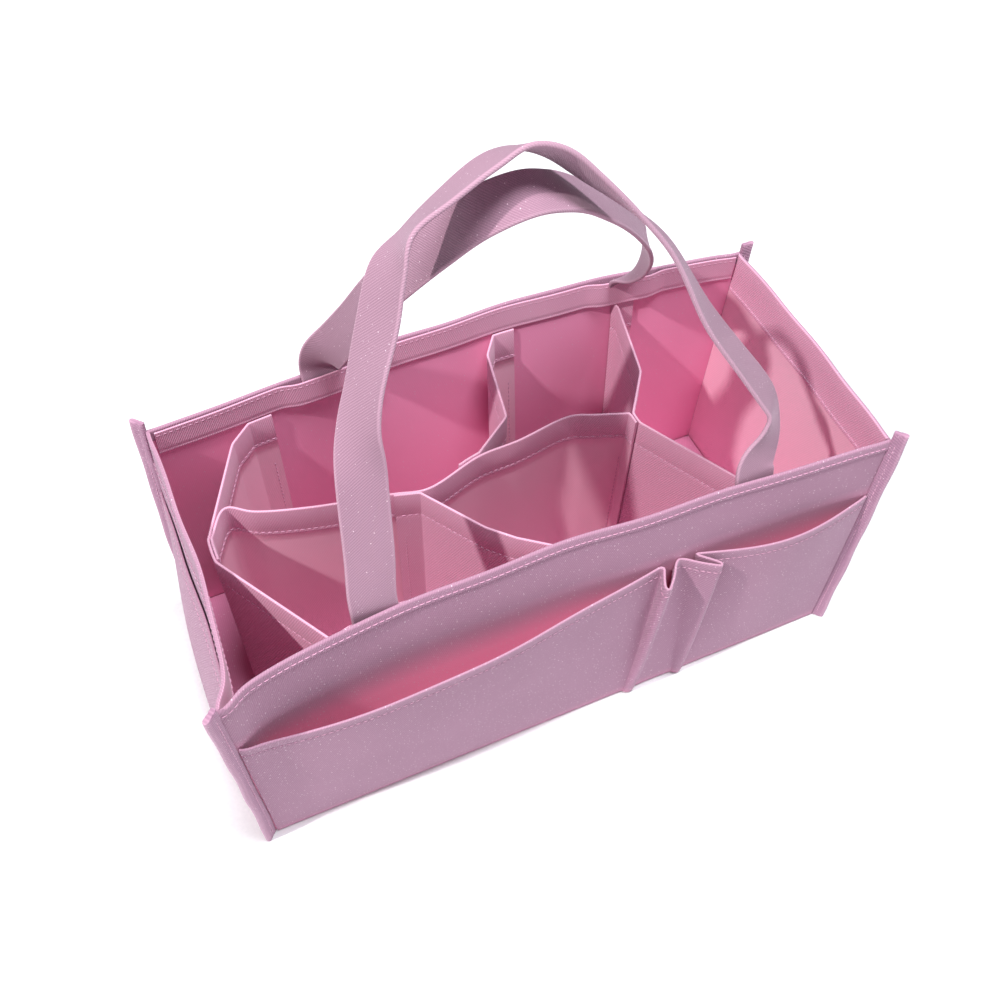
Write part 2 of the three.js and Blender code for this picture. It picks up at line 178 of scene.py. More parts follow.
def twill(name, lit, deep, slope, glint_from, rib=1.1, depth=0.2, sheen=0.3, dull=0.8):
    """Dyed polyester twill, ribs at a slope in degrees above the cloth's length.

    Rib spacing and depth are in mm, and fewer painted glints show the higher glint_from is.
    """
    material, tree = new_finish(name)
    weave = node(tree, "ShaderNodeUVMap", uv_map="weave").outputs["UV"]
    waves = []
    for angle, spacing in ((slope + 90, rib), (slope, THREAD_STEP)):  # across the ribs, along them
        pace, turn = FULL_TURN / spacing, math.radians(angle)
        direction = (pace * math.cos(turn), pace * math.sin(turn), 0)
        phase = node(tree, "ShaderNodeVectorMath", {0: weave, 1: direction},
                     operation="DOT_PRODUCT").outputs["Value"]
        waves.append(mapped(tree, sum_of(tree, "SINE", phase), -1.0, 1.0))
    floats = sum_of(tree, "MULTIPLY_ADD", waves[1], 0.35, 0.65)
    height = sum_of(tree, "MULTIPLY", waves[0], floats)

    # Dye: patches some 40 mm across where the cloth has faded a little
    patch = node(tree, "ShaderNodeTexNoise", {"Vector": weave, "Scale": 0.025, "Detail": 3.0},
                 noise_dimensions="2D").outputs[0]
    faded = mapped(tree, patch, 0.35, 0.75, 0.0, 0.3)
    # Rib tops get the lit colour, grooves the deep one: painted light and painted shade
    rib_light_and_shade = mixed(tree, height, hex_linear(deep), hex_linear(lit))
    dyed_and_rib_shaded = mixed(tree, faded, rib_light_and_shade, hex_linear(lit))

    # Wear and painted shade on the mesh: above 0 an edge is rubbed, below 0 pocket shade is painted
    wear_and_shade = node(tree, "ShaderNodeAttribute", attribute_name="wear_and_shade").outputs["Fac"]
    rubbed = mixed(tree, mapped(tree, wear_and_shade, 0.0, 1.0, 0.0, 0.3), dyed_and_rib_shaded, RUBBED_EDGE)
    worn_and_shaded = mixed(tree, mapped(tree, wear_and_shade, 0.0, -1.0), rubbed, POCKET_PAINTED_SHADE)

    # Painted glints about 0.7 mm across: a pale colour, and glossier, where a filament shines
    glint_noise = node(tree, "ShaderNodeTexNoise", {"Vector": weave, "Scale": 1.1, "Detail": 0.0},
                 noise_dimensions="2D").outputs[0]
    painted_glint = mapped(tree, glint_noise, glint_from, glint_from + 0.06)
    bump = node(tree, "ShaderNodeBump", {"Height": height, "Strength": 0.6,
                                         "Distance": depth * MM}).outputs[0]
    set_surface(tree, {
        "Base Color": mixed(tree, painted_glint, worn_and_shaded, PAINTED_GLINT), "Normal": bump,
        "Roughness": mapped(tree, painted_glint, 0.0, 1.0, dull, 0.4), "Specular IOR Level": 0.4,
        "Sheen Weight": sheen, "Sheen Roughness": 0.45, "Sheen Tint": BLOOM})
    return material


SLOPE = 62  # of the ribs on every panel
COATED = {"slope": SLOPE, "glint_from": 0.86, "depth": 0.05, "sheen": 0.1}
face_twill = twill("pink_polyester_twill", "bb8aa5", "a77891", SLOPE, 0.81)
# a paler copy of the face twill: painted light, where the lamp falls inside the box
inner_twill = twill("pale_inner_twill", "efb6d0", "dea0bd", SLOPE, 0.82)
# strong pink, partly painted reflected light bounced between the pink walls
coated_back = twill("coated_back_of_twill", "fba4c9", "f59cc3", dull=0.6, **COATED)
# a paler copy of the coated back: painted light, on the dividers and the right end
lit_coated_back = twill("coated_back_painted_light", "fac8db", "f5bfd4", dull=0.6, **COATED)
# a deeper copy: painted shade for the bottom of the rooms
shaded_floor_lining = twill("floor_lining_painted_shade", "de90b4", "d686ab", **COATED)
binding_twill = twill("folded_twill_binding", "c090ab", "a67893", 60, 0.82, rib=1.5, depth=0.3)
strap_twill = twill("folded_twill_strap", "b58ca1", "9f788c", -50, 0.86, rib=0.95)
TWO_FACED = (face_twill, coated_back)
INNER = (inner_twill, lit_coated_back)
print("panel finishes:", [m.name for m in (*TWO_FACED, *INNER, shaded_floor_lining)])

# %% [markdown]
# ## Thread and board
#
# The sewing thread is twisted polyester, a shade paler than the cloth and a little shinier. The
# board in the base is a grey plastic sheet: dull, with the darker and lighter grain of mixed
# scrap. It is sewn in.

# %% Thread and board finishes
def speckled(name, light, dark, grain_mm, roughness, sheen):
    """A matt finish whose colour varies over grains of a given size in millimetres."""
    material, tree = new_finish(name)
    place = node(tree, "ShaderNodeTexCoord").outputs["Object"]
    grain = node(tree, "ShaderNodeTexNoise", {"Vector": place, "Scale": 1 / (grain_mm * MM),
                                              "Detail": 2.0}).outputs[0]
    colour = mixed(tree, mapped(tree, grain, 0.3, 0.7), hex_linear(dark), hex_linear(light))
    bump = node(tree, "ShaderNodeBump", {"Height": grain, "Strength": 0.3,
                                         "Distance": 0.1 * MM}).outputs[0]
    set_surface(tree, {"Base Color": colour, "Roughness": roughness, "Normal": bump,
                       "Sheen Weight": sheen})
    return material


sewing_thread = speckled("twisted_polyester_thread", "e8b8d0", "d496b6", 0.5, 0.5, 0.2)
plastic_board = speckled("grey_plastic_board", "a29d98", "7d7873", 1.2, 0.9, 0.0)
print("thread and board:", sewing_thread.name, plastic_board.name)

# %% [markdown]
# ## How the walls stand
#
# An empty cloth box does not stand square. Its walls are straight where they meet the base, and
# the higher one goes, the more they lean and bow: the front sags in, the back swings out, and
# each top corner has shifted a few millimetres. These functions give that shape, with the same
# values as the solids and a slight ripple of slack cloth. Pockets, dividers and straps ask them
# where the wall is, so whatever is sewn to a wall follows it.

# %% Wall shapes
LENGTH, WIDTH, HEIGHT = 330.0, 148.0, 152.0  # outside, at the base
WALL, CLOTH = 2.0, 0.9  # two layers, one layer
FACE_GAP = 0.9  # from a wall's face to the middle of a layer on it
POCKET_FOOT, POCKET_TOP, END_POCKET_TOP = 1.3, 112.0, 108.0
TOP_SHIFT = {(-1, -1): (-2, -7), (1, -1): (1, 5), (-1, 1): (6, -1), (1, 1): (4.5, 2.7)}
EASED = 7.0  # near a corner, where a bow is held back
# How far each wall bows and where along it, and for the long walls the ripple's turns and phase
LONG_BOW = {-1: (15.0, 0.6, 4.3, 0.8), 1: (13.5, 1.3, 5.1, 2.0)}
END_BOW = {-1: (7.0, 0.55), 1: (2.0, 1.0)}


def lean(z):
    """Share of a wall's lean and bow that is reached at height z."""
    return (np.maximum(z, 0.0) / HEIGHT) ** 1.4


def corner(end, side, z):
    """Where two neighbouring walls meet: end -1 is left, side -1 is the front."""
    dx, dy = TOP_SHIFT[end, side]
    return end * (LENGTH - WALL) / 2 + dx * lean(z), side * (WIDTH - WALL) / 2 + dy * lean(z)


def ease(share, run):
    """How much of a bow is left near each corner."""
    near, far = ((part * run / EASED) ** 2 for part in (share, 1 - share))
    return (1 - np.exp(-near)) * (1 - np.exp(-far))


def slack(share, turns, phase):
    """A ripple of slack cloth, in millimetres, that dies out at the corners."""
    return 0.6 * np.sin(FULL_TURN * turns * share + phase) * np.sin(np.pi * share)


def long_wall_y(side, x, z):
    """Middle of the front or back wall."""
    (x0, y0), (x1, y1) = corner(-1, side, z), corner(1, side, z)
    s = np.clip((x - x0) / (x1 - x0), 0, 1)
    most, power, turns, phase = LONG_BOW[side]
    bow = most * np.sin(np.pi * s ** power) * ease(s, x1 - x0)
    return y0 + (y1 - y0) * s + (bow + slack(s, turns, phase)) * lean(z)


def end_wall_x(end, y, z):
    """Middle of the left or right end wall."""
    (x0, y0), (x1, y1) = corner(end, -1, z), corner(end, 1, z)
    s = np.clip((y - y0) / (y1 - y0), 0, 1)
    most, power = END_BOW[end]
    bow = most * np.sin(np.pi * s ** power) * ease(s, y1 - y0)
    return x0 + (x1 - x0) * s + (bow + slack(s, 2.4, 1.0)) * lean(z)


print("front wall at the top, left to right:",
      [round(float(long_wall_y(-1, x, HEIGHT))) for x in (-160, -80, 0, 80, 160)])

# %% [markdown]
# ## From a section to a sheet
#
# Every sheet here is drawn the way it is sewn: a line on the plan, and a section that stands on
# it. The section is a closed loop with the cloth's thickness and, at the top, a hem that is
# turned over and stitched. A thickened plane would be quicker, but it has no hem, no step where
# the flap ends and no groove where the thread pulls in, and without them it does not look sewn.

# %% Plan lines
def unit(vectors):
    """The same directions at length 1."""
    return vectors / np.linalg.norm(vectors, axis=-1, keepdims=True)


def offset_path(path, distance):
    """Moves a plan line to the left of its direction, with mitred corners."""
    step = np.diff(path[:, :2], axis=0)
    normal = unit(np.stack([-step[:, 1], step[:, 0]], 1))
    both = np.vstack([normal[:1], normal]) + np.vstack([normal, normal[-1:]])
    size = np.linalg.norm(both, axis=1)[:, None]
    moved = path.copy()
    moved[:, :2] += both / size * np.minimum(2.0, 2.0 / size) * distance
    return moved


def soften(path, rounds=2):
    """Cuts the corners of a line, so that folds are round instead of sharp."""
    for _ in range(rounds):
        a, b = path[:-1], path[1:]
        cut = np.stack([0.75 * a + 0.25 * b, 0.25 * a + 0.75 * b], 1).reshape(-1, path.shape[1])
        path = np.vstack([path[:1], cut, path[-1:]])
    return path


def run_of(path):
    """Distance along a line, from 0 at its first point."""
    return np.concatenate([[0.0], np.cumsum(np.linalg.norm(np.diff(path, axis=0), axis=1))])


def sampled(values, run, at):
    """Values known along a run, read at other places on it."""
    return np.stack([np.interp(at, run, column) for column in values.T], 1)


def square_to(vectors, axis):
    """Unit vectors at right angles to an axis, each as near as can be to the one given."""
    return unit(vectors - axis * np.sum(vectors * axis, axis=1, keepdims=True))


print("a softened square corner has", len(soften(np.array([[0, 0], [1, 0], [1, 1.0]]))), "points")

# %% Hem section
# Depth of each hem, thickness of its flap and how far the stitch row is from the folded edge
RIM = {"hem": 6.0, "flap": 0.7, "stitch": 4.2}
DEEP = {"hem": 24.0, "flap": 0.6, "stitch": 22.0}
POCKET_HEM = {"hem": 8.0, "flap": 0.4, "stitch": 6.4}
DIVIDER_HEM = {"hem": 18.5, "flap": 0.4, "stitch": 16.5}
FACING_HEM = {"hem": 3.4, "flap": 0.3, "stitch": 1.8}
GROOVE = 0.25  # how far the thread pulls into the cloth
PRESSED = 0.65  # a pressed hem has no more than this on each side of its middle
SHADE_ABOVE, SHADE_OVER = 8.0, 24.0  # the painted shade by a pocket ends this far above it, over this height


def hem_loop(low, high, thick, fold, inner, back=0, flap_finish=0, pocket=0):
    """Section of a hemmed sheet as a closed loop: offset, height, wear and painted shade, which
    finish.

    The flap lies on the inner side. With back 1 the cloth's coated back, finish 1, shows below
    the flap, with -1 on the other side. Pocket is the height of a pocket that covers the uncoated
    side. Below it, and in a band above it, that side is painted a deeper pink: painted shade.
    """
    flap, half, rub = fold["flap"], thick / 2, min(1.0, CLOTH / thick)
    top = min(half, PRESSED)
    flap_end, row, bend = high - fold["hem"], high - fold["stitch"], top + flap / 2

    def plain_point(offset, h, coated):
        # by a pocket the uncoated side is painted deeper: painted shade
        painted_shade = np.clip((pocket + SHADE_ABOVE - h) / SHADE_OVER, 0, 1)
        return offset, h, 0 if coated else -painted_shade, coated

    plain = np.linspace(low, flap_end - 0.5, max(4, round((flap_end - low) / 6)))
    upper = np.linspace(row + 0.8, high - bend, max(2, round((high - bend - row) / 5)))[:-1]
    loop = [plain_point(half, h, back > 0) for h in plain]
    loop += [(half + 0.8 * flap, flap_end, 0.3, flap_finish),
             (half + flap, flap_end + 0.5, 0.2, flap_finish),
             (half + flap, row - 0.8, 0, flap_finish),
             (half + flap - GROOVE, row, 0, flap_finish)]
    loop += [(top + flap, h, 0, flap_finish) for h in upper]
    for angle in np.linspace(0, np.pi, 9):  # over the fold, flap's finish first
        loop.append((flap / 2 + bend * np.cos(angle), high - bend + bend * np.sin(angle),
                     rub * (0.3 + 0.7 * np.sin(angle)), flap_finish if angle < 1.2 else 0))
    loop += [(-top, h, 0, 0) for h in upper[::-1]]
    loop += [(-half + GROOVE, row, 0, 0), (-half, row - 0.8, 0, 0)]
    loop += [plain_point(-half, h, back < 0) for h in plain[::-1]]
    return np.array(loop, float) * [inner, 1, 1, 1]


print("a wall's hem section has", len(hem_loop(0, HEIGHT, WALL, RIM, 1)), "points")

# %% Mesh maker
def skin(name, rings, finishes, wear_and_shade, which=None):
    """A closed mesh through rings of points, in millimetres, with the weave map on it.

    Which gives each point of the section the number of its finish, 0 where two of them meet.
    """
    which = np.zeros(rings.shape[1]) if which is None else which
    first, second = rings[:-1], rings[1:]
    ahead = np.roll(first, -1, axis=1)
    centre = rings.mean(axis=(0, 1))
    volume = np.sum((first - centre) * np.cross(second - centre, ahead - centre))
    if volume < 0:
        rings, wear_and_shade, which = rings[:, ::-1], wear_and_shade[::-1], which[::-1]
    n, k = rings.shape[:2]
    along = run_of(rings.mean(axis=1))
    middle = rings[n // 2]
    around = run_of(np.vstack([middle, middle[:1]]))
    index = np.arange(n * k).reshape(n, k)
    nxt = np.roll(index, -1, axis=1)
    quads = np.stack([index[:-1], index[1:], nxt[1:], nxt[:-1]], -1).reshape(-1, 4)
    mesh = bpy.data.meshes.new(name)
    mesh.from_pydata(rings.reshape(-1, 3) * MM, [],
                     quads.tolist() + [index[0].tolist(), index[-1][::-1].tolist()])
    u = np.stack([along[:-1], along[1:], along[1:], along[:-1]], -1)[:, None].repeat(k, 1)
    v = np.stack([around[:-1], around[:-1], around[1:], around[1:]], -1)[None].repeat(n - 1, 0)
    ends = [np.stack([ring @ [0.8, 0.6, 0], ring[:, 2]], -1)
            for ring in (rings[0], rings[-1][::-1])]
    uv = np.vstack([np.stack([u, v], -1).reshape(-1, 2), *ends])
    mesh.uv_layers.new(name="weave").data.foreach_set("uv", uv.ravel())
    mark = mesh.attributes.new("wear_and_shade", "FLOAT", "POINT")
    mark.data.foreach_set("value", np.broadcast_to(wear_and_shade, (n, k)).astype(float).ravel())
    mesh.shade_smooth()
    mesh.set_sharp_from_angle(angle=math.radians(40))
    for finish in finishes:
        mesh.materials.append(finish)
    shown = np.where(which == np.roll(which, -1), which, 0)
    numbers = np.append(np.tile(shown, n - 1), [0, 0]).astype(np.int32)
    mesh.polygons.foreach_set("material_index", numbers)
    return placed(name, mesh)


def sewn_on(piece, slot, *nodes):
    """The piece belongs to the box itself and stands for these solids."""
    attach(piece, "organizer")
    if nodes:
        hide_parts(*nodes)
    return piece


def standing_cloth(name, path_at, loop, fold, slot, solids, finishes=TWO_FACED,
                   mitre=0):
    """A sheet that stands on edge along a plan line; it prints the size it was cut to."""
    rings = np.stack([offset_path(path_at(h), o) for o, h, _, _ in loop], axis=1)
    if mitre:  # the ends are cut at 45 degrees to meet the next wall
        for station, way in ((0, 1), (-1, -1)):
            line = path_at(loop[0, 1])[[0, 1] if station == 0 else [-2, -1], :2]
            rings[station, :, :2] += mitre * way * loop[:, :1] * unit(line[1] - line[0])
    piece = sewn_on(skin(name, rings, finishes, loop[:, 2], loop[:, 3]), slot, *solids)
    top = loop[:, 1].max()
    cut = (run_of(path_at(top))[-1] * MM, (top - loop[:, 1].min() + fold["hem"]) * MM)
    print(f"{name}: cut {cut[0] * 1000:.0f} x {cut[1] * 1000:.0f} mm")
    return piece


# %% [markdown]
# ## The four walls
#
# Each wall is two layers of twill with the coated backs inwards. The long walls end in a narrow
# hem, rolled to the outside, with one row of stitches just under the edge. The end walls have a
# deep hem in the paler copy of the twill, painted light: it is turned in 24 mm, and its row of
# stitches shows as a crease on the inside. All four meet at the corners at 45 degrees.

# %% Walls
SEAM_GAP = 0.06  # from each wall's end to the middle of the corner seam
RIM_WAVE = 0.5  # how far a rim rises and falls


def long_wall_path(side):
    share = np.linspace(0, 1, 131)

    def path_at(h):
        x0, x1 = corner(-1, side, h)[0] + SEAM_GAP, corner(1, side, h)[0] - SEAM_GAP
        x = x0 + (x1 - x0) * share
        edge = RIM_WAVE * np.sin(19 * share + side) * np.sin(np.pi * share) * lean(h)
        return np.stack([x, long_wall_y(side, x, h), h + edge], 1)
    return path_at


def end_wall_path(end):
    share = np.linspace(0, 1, 71)

    def path_at(h):
        y0, y1 = corner(end, -1, h)[1] + SEAM_GAP, corner(end, 1, h)[1] - SEAM_GAP
        y = y0 + (y1 - y0) * share
        edge = RIM_WAVE * np.sin(9 * share + end) * np.sin(np.pi * share) * lean(h)
        return np.stack([end_wall_x(end, y, h), y, h + edge], 1)
    return path_at


wall_lines = {"front": long_wall_path(-1), "back": long_wall_path(1),
              "left_end": end_wall_path(-1), "right_end": end_wall_path(1)}
# Which side of its line each wall's inside is on, and which side its flap is sewn to
for name, inside, flap_side, fold in (("front", 1, -1, RIM), ("back", -1, 1, RIM),
                                      ("left_end", -1, -1, DEEP), ("right_end", 1, 1, DEEP)):
    deep = fold is DEEP
    loop = hem_loop(0, HEIGHT, WALL, fold, flap_side, back=inside * flap_side,
                    flap_finish=2 if deep else 0,
                    pocket=END_POCKET_TOP - 14 if deep else POCKET_TOP)  # the painted shade starts lower on the ends, where light gets in
    lining = lit_coated_back if name == "right_end" else coated_back  # the right end's lining is a paler copy: painted light, where the lamp falls
    standing_cloth(f"{name}_wall", wall_lines[name], loop, fold, "outer_cloth", [f"{name}_panel"],
                   (face_twill, lining, inner_twill), mitre=inside)

# %% [markdown]
# ## The base
#
# A stiff board keeps the bottom flat. It lies between the outer cloth and the lining. The board
# is flat on the real one too, so its solid stays and only gets a finish. The two cloths become
# thin sheets with rolled edges, and the lining is a little uneven, because it is not glued down.

# %% Base cloths and board
def flat_cloth(name, low, high, ripple, finish, slot, solid):
    """A sheet that lies on or under the board."""
    half_x, half_y = LENGTH / 2 - WALL - 0.5, WIDTH / 2 - WALL - 0.5
    roll = 0.6  # radius of the rolled edge
    xs, ys = np.linspace(-half_x, half_x, 67), np.linspace(-half_y + roll, half_y - roll, 31)
    middle, half = (low + high) / 2, (high - low) / 2
    turn = np.linspace(-np.pi / 2, np.pi / 2, 6)[1:-1]
    bend = np.stack([roll * np.cos(turn), half * np.sin(turn)], 1)
    section = np.vstack([
        np.stack([ys, np.full_like(ys, low)], 1), bend + [ys[-1], middle],
        np.stack([ys[::-1], np.full_like(ys, high)], 1), bend[::-1] * [-1, 1] + [ys[0], middle]])
    rings = np.empty((len(xs), len(section), 3))
    rings[..., 0] = xs[:, None]
    rings[..., 1:] = section
    wave = np.sin(rings[..., 0] / 17 + rings[..., 1] / 29) * np.sin(rings[..., 1] / 13)
    rings[..., 2] += np.where(section[:, 1] >= high - 1e-6, ripple * wave, 0)
    piece = sewn_on(skin(name, rings, [finish], np.zeros(len(section))), slot, solid)
    print(f"{name}: cut {2 * half_x:.0f} x {2 * half_y:.0f} mm")


flat_cloth("bottom_cloth", 0.0, 1.2, 0.0, face_twill, "outer_cloth", "base_panel")
# the lining's deeper pink is painted shade
flat_cloth("floor_lining", 3.8, 4.9, 0.2, shaded_floor_lining, "divider_cloth", "base_lining")
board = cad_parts["base_board"]
board.data.materials.clear()
board.data.materials.append(plastic_board)

# %% [markdown]
# ## Bound corners
#
# Where two walls meet, their raw edges are held together by a folded strip of twill that stands
# out from the corner like a fin. It is about 8 mm wide, its fold is rounded, one row of stitches
# presses a groove into it, and its cut end stands 5 mm above the wall.

# %% Corner bindings
BINDING_TOP = HEIGHT + 5.0
BINDING_ROW = 3.4  # from the corner to the row of stitches


def binding_section():
    """The fold's section: how far out from the corner, and how far from the fold's middle."""
    flat = [(0.7, 0.9), (1.2, 1.35), (2.6, 1.4), (BINDING_ROW, 1.15), (4.2, 1.4), (5.6, 1.5)]
    fold = [(6.5 + 1.45 * math.sin(a), 1.5 * math.cos(a)) for a in np.linspace(0.1, 1.35, 5)]
    one = flat + fold
    return np.array(one + [(d, -t) for d, t in one[::-1]])


def binding_direction(end, side):
    """Diagonally out from the corner, but the back right one lies over to the right."""
    turn = 0.0 if (end, side) == (1, 1) else math.atan2(side, end)
    return np.array([math.cos(turn), math.sin(turn), 0.0])


def corner_binding(end, side):
    section = binding_section()
    ahead = binding_direction(end, side)
    rings = []
    for z in np.append(np.linspace(0.3, BINDING_TOP - 0.4, 42), BINDING_TOP):
        x, y = corner(end, side, z)
        tip = 0.8 if z == BINDING_TOP else 1.0  # the cut end is pinched
        out = section[:, 0] + 0.25 * math.sin(z / 7 + end) * (section[:, 0] > 5)
        thick = section[:, 1] * tip + 0.2 * math.sin(z / 11 + side)
        rings.append(np.stack([x + out * ahead[0] - thick * ahead[1],
                               y + out * ahead[1] + thick * ahead[0],
                               np.full(len(section), z)], 1))
    wear_and_shade = np.where(section[:, 0] > 6.4, 0.8, 0.0)  # along the fold
    return np.array(rings), wear_and_shade


for end, side in TOP_SHIFT:
    rings, wear_and_shade = corner_binding(end, side)
    row_name = "front" if side < 0 else "back"
    name = f"{row_name}_left" if end < 0 else f"{row_name}_right"
    piece = sewn_on(skin(f"{name}_binding", rings, [binding_twill], wear_and_shade), "seam_tape",
                    f"{name}_corner_tape")
print("bindings stand", BINDING_TOP - HEIGHT, "mm above the walls")

# %% [markdown]
# ## Pockets on the long sides
#
# One strip of twill runs the length of each long side. It is sewn down at both ends, along the
# bottom and at one upright seam, which makes a large pocket and a small one. Beside the seam the
# strip is folded into a pleat on each side, so that the pockets can open. The faces belly out
# towards the top and the pleats fan open. The strip is drawn from above as one folded line that
# changes with height, and its folds are then softened.

# %% Long pocket line
SEAM_X = 56.5  # the upright seam between the two pockets
STRIP_END = 0.9  # from a corner to the end of a pocket's cloth
LARGE_BELLY, SMALL_BELLY = 17.0, 9.0
PLEAT_ROOT, PLEAT_WIDE = 1.6, 7.0  # from the seam to a pleat, and across its opening
FOOT_REACH = 2.4  # how far a pleat stands out at the foot
# For each pleat: how far it stands out and leans at the top, and how far it spreads at the foot
PLEATS = {-1: (13.5, 8.0, 12.0), 1: (11.0, 12.0, 9.0)}


def pleat(way, full):
    """One pleat from its root at the seam to where the pocket's face begins."""
    stands, leans, spreads = PLEATS[way]
    reach = FOOT_REACH + (stands - FOOT_REACH) * full
    root = SEAM_X + way * (PLEAT_ROOT + spreads * (1 - full))
    far = root + way * PLEAT_WIDE
    tip = (root + far) / 2 + way * leans * full
    return [(root, 0), ((root + tip) / 2 - way * 1.2, reach * 0.5),
            (tip - way * 1.5, reach * 0.93), (tip, reach), (tip + way * 1.5, reach * 0.86),
            ((far + tip) / 2 + way * 1.2, reach * 0.45), (far, 0)]


def pocket_strip_path(side):
    turn = -side  # the back strip is the front one turned round

    def path_at(h):
        full = max(0.0, (h - POCKET_FOOT) / (POCKET_TOP - POCKET_FOOT)) ** 0.85
        x0, x1 = (turn * corner(end * turn, side, h)[0] for end in (-1, 1))
        left, right = pleat(-1, full)[::-1], pleat(1, full)
        t = np.linspace(0, 1, 25)
        large_x = x0 + STRIP_END + (left[0][0] - x0 - STRIP_END) * t
        large = LARGE_BELLY * full * np.sin(np.pi * t ** 0.75)
        small_x = right[-1][0] + (x1 - STRIP_END - right[-1][0]) * t
        small = SMALL_BELLY * full * np.sin(np.pi * t)
        plan = soften(np.vstack([np.stack([large_x, large], 1)[:-1], left, right,
                                 np.stack([small_x, small], 1)[1:]]))
        x = plan[:, 0] * turn
        y = long_wall_y(side, x, h) + side * (WALL / 2 + FACE_GAP + plan[:, 1])
        return np.stack([x, y, np.full(len(x), h)], 1)
    return path_at


# %% Long pockets
pocket_lines = {"front_pocket": pocket_strip_path(-1), "back_pocket": pocket_strip_path(1)}
for name, line in pocket_lines.items():
    loop = hem_loop(POCKET_FOOT, POCKET_TOP, CLOTH, POCKET_HEM, 1, back=1)
    standing_cloth(f"{name}_strip", line, loop, POCKET_HEM, "outer_cloth", [name])

# %% [markdown]
# ## Pockets on the ends
#
# Each end has one plain pocket. Its mouth lies almost flat on the wall, and it bellies out lower
# down.

# %% End pockets
END_BELLY, END_MOUTH = 9.3, 0.5


def end_pocket_path(end):
    share = np.linspace(0, 1, 61)

    def path_at(h):
        t = np.clip((h - POCKET_FOOT) / (END_POCKET_TOP - POCKET_FOOT), 0, 1)
        belly = END_BELLY * np.sin(np.pi * t ** 0.9)
        y0, y1 = corner(end, -1, h)[1] + STRIP_END, corner(end, 1, h)[1] - STRIP_END
        y = y0 + (y1 - y0) * share
        out = (END_MOUTH * t * np.sin(np.pi * share ** 1.5).clip(0) ** 0.7
               + belly * np.sin(np.pi * share ** 0.8).clip(0) ** 0.7)
        x = end_wall_x(end, y, h) + end * (WALL / 2 + FACE_GAP + out)
        return np.stack([x, y, np.full(len(y), h)], 1)
    return path_at


for end, name, inside in ((-1, "left_end_pocket", -1), (1, "right_end_pocket", 1)):
    pocket_lines[name] = end_pocket_path(end)
    loop = hem_loop(POCKET_FOOT, END_POCKET_TOP, CLOTH, POCKET_HEM, inside, back=1)
    standing_cloth(f"{name}_cloth", pocket_lines[name], loop, POCKET_HEM, "outer_cloth", [name])

# %% [markdown]
# ## Dividers
#
# The dividers are single strips of twill on edge, with a hem along the top. Two of them cross
# the box with a knee in the middle, a long one waves from knee to knee, and two short ones join
# it to the front and the back. Each end is turned aside into a tab and sewn flat to what it
# meets. The hem is turned to the coated side. They bend over their whole height, so one line on
# the plan gives the whole strip.

# %% Curve through points
def smooth_curve(points, count):
    """A centripetal Catmull-Rom curve through points, as the solids use."""
    points = np.asarray(points, float)
    ends = np.vstack([2 * points[0] - points[1], points, 2 * points[-1] - points[-2]])
    place = np.linspace(0, len(points) - 1, count)
    first = np.minimum(place.astype(int), len(points) - 2)
    t = (place - first)[:, None]
    p0, p1, p2, p3 = (ends[first + i] for i in range(4))
    gap = [np.sqrt(np.linalg.norm(b - a, axis=1))[:, None]
           for a, b in ((p0, p1), (p1, p2), (p2, p3))]
    d1 = np.where(gap[1] < 1e-4, 1.0, gap[1])
    d0, d2 = (np.where(g < 1e-4, d1, g) for g in (gap[0], gap[2]))
    m1 = ((p1 - p0) / d0 - (p2 - p0) / (d0 + d1) + (p2 - p1) / d1) * d1
    m2 = ((p2 - p1) / d1 - (p3 - p1) / (d1 + d2) + (p3 - p2) / d2) * d1
    return (p1 + m1 * t + (3 * (p2 - p1) - 2 * m1 - m2) * t ** 2
            + (2 * (p1 - p2) + m1 + m2) * t ** 3)


def evenly(path, count):
    """The same line with its points evenly spaced."""
    run = run_of(path)
    return sampled(path, run, np.linspace(0, run[-1], count))


# %% Divider lines
TAB = 12.0
FLOOR, DIVIDER_TOP = 5.3, HEIGHT - 16.0
LEFT_KNEE = np.array([[-148.5, 13.0], [-148.5, 1.0]])  # the two ends of each knee
RIGHT_KNEE = np.array([[67.5, 7.0], [67.5, 0.0]])
FOLD = 1.5  # between the middles of two layers sewn together


def wall_tab(side, x, h):
    """A tab that lies on the inside of a long wall, from its free end to the divider at x."""
    return [[at, float(long_wall_y(side, at, h)) - side * (WALL / 2 + FACE_GAP)]
            for at in (x + TAB, x + TAB / 2, x)]


def kinked(a, b, kinks):
    """From a to b in straight lengths: each kink is a share of the way and a shift to the right."""
    a, b = np.array(a), np.array(b)
    corners = [a, *(a + (b - a) * t + [right, 0] for t, right in kinks), b]
    line = []
    for first, last in zip(corners[:-1], corners[1:]):
        for t in (0.03, 0.25, 0.5, 0.75, 0.97):  # close to each corner, so that it stays crisp
            line.append(first + (last - first) * t)
    return np.array(line)


def raised(plan, h, sag):
    """A plan line at height h, its top edge sagging a little between its ends."""
    share = run_of(plan) / run_of(plan)[-1]
    z = h - sag * np.sin(np.pi * share) ** 2 * (h / DIVIDER_TOP) ** 3
    return np.column_stack([plan, z])


def cross_divider_path(back_x, kinks, knee, front_x):
    def path_at(h):
        back, front = wall_tab(1, back_x, h), wall_tab(-1, front_x, h)
        plan = np.vstack([back, kinked(back[-1], knee[0], kinks), knee,
                          kinked(knee[1], front[-1], []), front[::-1]])
        return raised(soften(plan), h, 0.6)
    return path_at


